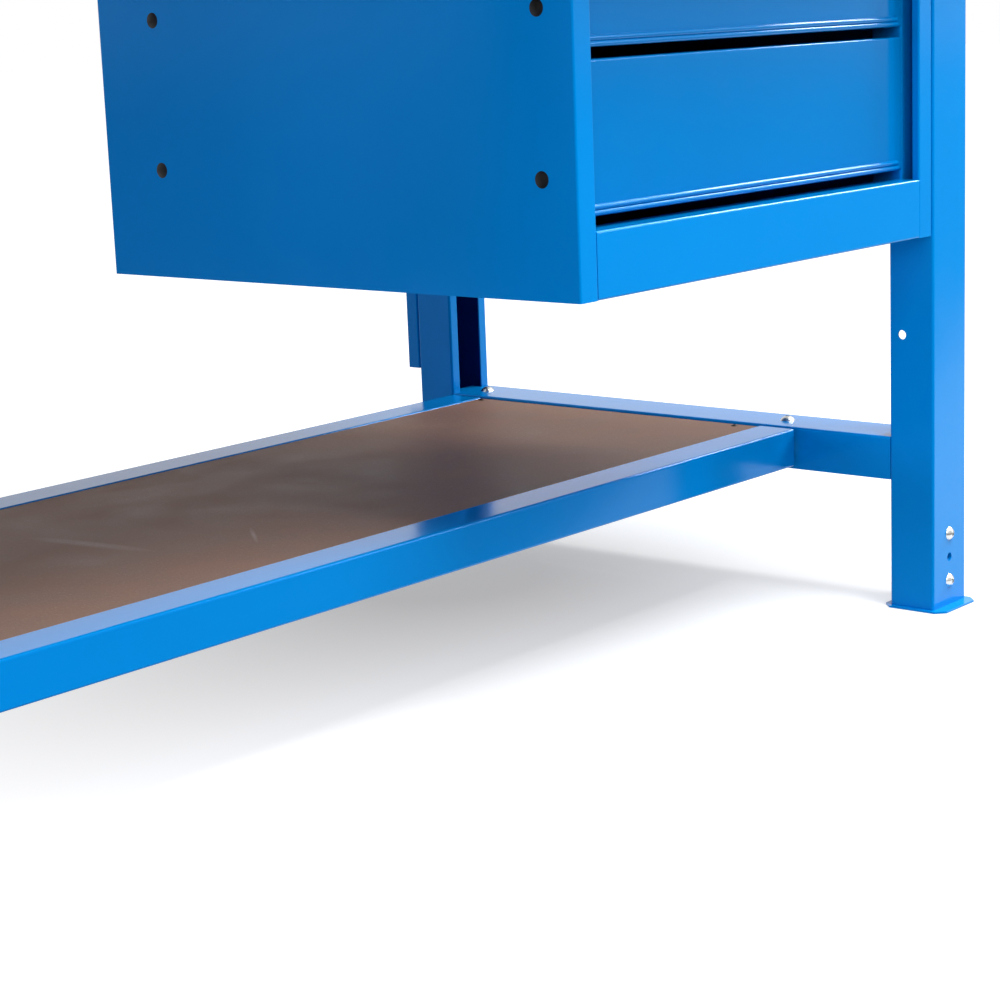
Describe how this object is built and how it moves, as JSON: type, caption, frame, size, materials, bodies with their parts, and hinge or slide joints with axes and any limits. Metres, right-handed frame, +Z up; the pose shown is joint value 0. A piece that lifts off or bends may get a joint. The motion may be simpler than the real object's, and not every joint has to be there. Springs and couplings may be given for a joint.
{
  "type": "workbench",
  "caption": "Workshop bench with steel leg frames on adjustable feet, low shelf, hanging drawer housing, hardboard worktop and perforated tool panels on rear posts.",
  "frame": {"origin": "on the floor under the middle of the whole bench", "axes": "+X to the right along the bench, +Y to the rear, +Z up; the drawers open towards -Y"},
  "size_m": [1.5, 0.817, 1.448],
  "materials": {
    "blue_paint": "gloss powder coat",
    "zinc": "bright zinc plate",
    "hardboard": "smooth hardboard",
    "chipboard": "raw chipboard",
    "edging": "fine matt",
    "plug_plastic": "smooth"
  },
  "bodies": {
    "frame": {"leg_front_right": "blue_paint", "leg_rear_right": "blue_paint", "leg_front_left": "blue_paint", "leg_rear_left": "blue_paint", "foot_front_right": "blue_paint", "foot_rear_right": "blue_paint", "foot_front_left": "blue_paint", "foot_rear_left": "blue_paint", "foot_screws": "zinc", "lower_rail_right": "blue_paint", "lower_rail_left": "blue_paint", "upper_rail_right": "blue_paint", "upper_rail_left": "blue_paint", "rear_beam": "blue_paint", "frame_bolts": "zinc", "shelf_rail_front": "blue_paint", "shelf_rail_rear": "blue_paint", "shelf_bearers": "blue_paint", "shelf_board": "hardboard", "shelf_board_screws": "zinc", "shelf_hangers": "blue_paint", "worktop_board": "chipboard", "worktop_hardboard": "hardboard", "worktop_edging": "edging", "worktop_screws": "zinc", "post_right": "blue_paint", "post_left": "blue_paint", "tool_panel_lower": "blue_paint", "tool_panel_upper": "blue_paint", "tool_panel_screws": "zinc", "housing_side_left": "blue_paint", "housing_side_right": "blue_paint", "housing_back": "blue_paint", "housing_floor": "blue_paint", "housing_front_rail": "blue_paint", "housing_top_rail": "blue_paint", "slide_carriers": "blue_paint", "hole_plugs": "plug_plastic", "slide_outer_left": "zinc", "slide_outer_right": "zinc"},
    "drawer_1": {"drawer_front_1": "blue_paint", "drawer_tray_1": "blue_paint", "slide_inner_left_1": "zinc", "slide_inner_right_1": "zinc"},
    "slide_members_1": {"slide_middle_left_1": "zinc", "slide_middle_right_1": "zinc"},
    "drawer_2": {"drawer_front_2": "blue_paint", "drawer_tray_2": "blue_paint", "slide_inner_left_2": "zinc", "slide_inner_right_2": "zinc"},
    "slide_members_2": {"slide_middle_left_2": "zinc", "slide_middle_right_2": "zinc"},
    "drawer_3": {"drawer_front_3": "blue_paint", "drawer_tray_3": "blue_paint", "slide_inner_left_3": "zinc", "slide_inner_right_3": "zinc"},
    "slide_members_3": {"slide_middle_left_3": "zinc", "slide_middle_right_3": "zinc"}
  },
  "joints": [
    {"name": "drawer_1_slide", "type": "slide", "parent": "frame", "child": "drawer_1", "axis": [0, -1, 0], "range_m": [0, 0.48]},
    {"name": "drawer_2_slide", "type": "slide", "parent": "frame", "child": "drawer_2", "axis": [0, -1, 0], "range_m": [0, 0.48]},
    {"name": "drawer_3_slide", "type": "slide", "parent": "frame", "child": "drawer_3", "axis": [0, -1, 0], "range_m": [0, 0.48]},
    {"name": "slide_members_1_slide", "type": "slide", "parent": "frame", "child": "slide_members_1", "axis": [0, -1, 0], "range_m": [0, 0.24]},
    {"name": "slide_members_2_slide", "type": "slide", "parent": "frame", "child": "slide_members_2", "axis": [0, -1, 0], "range_m": [0, 0.24]},
    {"name": "slide_members_3_slide", "type": "slide", "parent": "frame", "child": "slide_members_3", "axis": [0, -1, 0], "range_m": [0, 0.24]}
  ],
  "couplings": [
    {"joint": "slide_members_1_slide", "follows": "drawer_1_slide", "ratio": 0.5},
    {"joint": "slide_members_2_slide", "follows": "drawer_2_slide", "ratio": 0.5},
    {"joint": "slide_members_3_slide", "follows": "drawer_3_slide", "ratio": 0.5}
  ]
}
